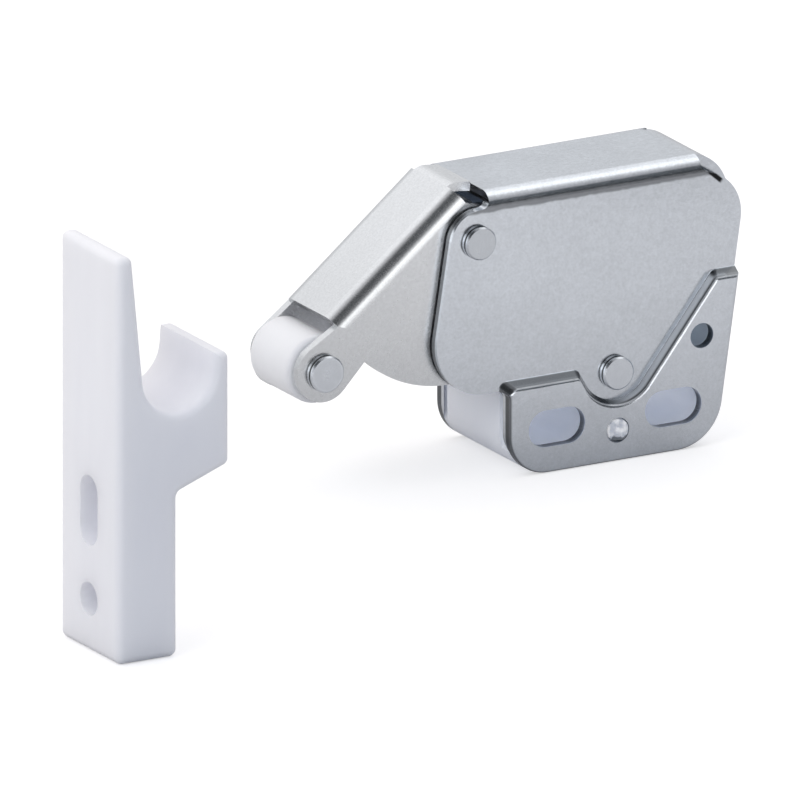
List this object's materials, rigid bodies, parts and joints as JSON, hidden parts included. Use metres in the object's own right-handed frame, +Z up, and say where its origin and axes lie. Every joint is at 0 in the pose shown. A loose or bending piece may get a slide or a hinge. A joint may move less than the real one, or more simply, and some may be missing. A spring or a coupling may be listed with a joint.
{
  "type": "touch latch with keeper",
  "caption": "Roller touch latch: sheet-metal housing with a sprung swinging arm and nylon roller, and its separate moulded nylon keeper.",
  "frame": {"origin": "midway between the housing's two mounting slots, on its middle plane", "axes": "+X from the roller towards the rear of the housing, +Z up from the slots towards the top strap, Y along the pins"},
  "size_m": [0.1164, 0.0637, 0.0539],
  "materials": {
    "plated_sheet": "bright nickel plating on cold-rolled sheet",
    "arm_sheet": "brushed, nickel plated",
    "pin_steel": "nickel plated, turned",
    "spring_steel": "drawn wire",
    "lever_steel": "blanked sheet",
    "white_nylon": "satin moulded",
    "keeper_nylon": "satin moulded"
  },
  "bodies": {
    "latch_body": {"housing": "plated_sheet", "spacer_block": "white_nylon", "arm_pivot_pin": "pin_steel", "catch_pin": "pin_steel", "spring_sleeve": "white_nylon", "arm_spring": "spring_steel", "catch_spring": "spring_steel", "catch_washer": "white_nylon", "keeper": "keeper_nylon"},
    "arm_body": {"arm": "arm_sheet", "roller_pin": "pin_steel", "heart_cam": "white_nylon"},
    "roller_body": {"roller": "white_nylon"},
    "catch_body": {"catch_lever": "lever_steel", "follower_pin": "pin_steel"}
  },
  "joints": [
    {"name": "arm_swing", "type": "hinge", "parent": "latch_body", "child": "arm_body", "pos_m": [-0.019, 0, 0.0257], "axis": [0, -1, 0], "range_deg": [0, 48], "stiffness_Nm_per_rad": 0.08, "springref_deg": -40.11, "deforming": ["arm_spring"]},
    {"name": "roller_spin", "type": "hinge", "parent": "arm_body", "child": "roller_body", "pos_m": [-0.04043, 0, 0.01126], "axis": [0, -1, 0], "continuous": true},
    {"name": "catch_swing", "type": "hinge", "parent": "latch_body", "child": "catch_body", "pos_m": [0.00097, 0, 0.00542], "axis": [0, 1, 0], "range_deg": [0, 19], "stiffness_Nm_per_rad": 0.001, "springref_deg": 8.02, "deforming": ["catch_spring"]}
  ]
}
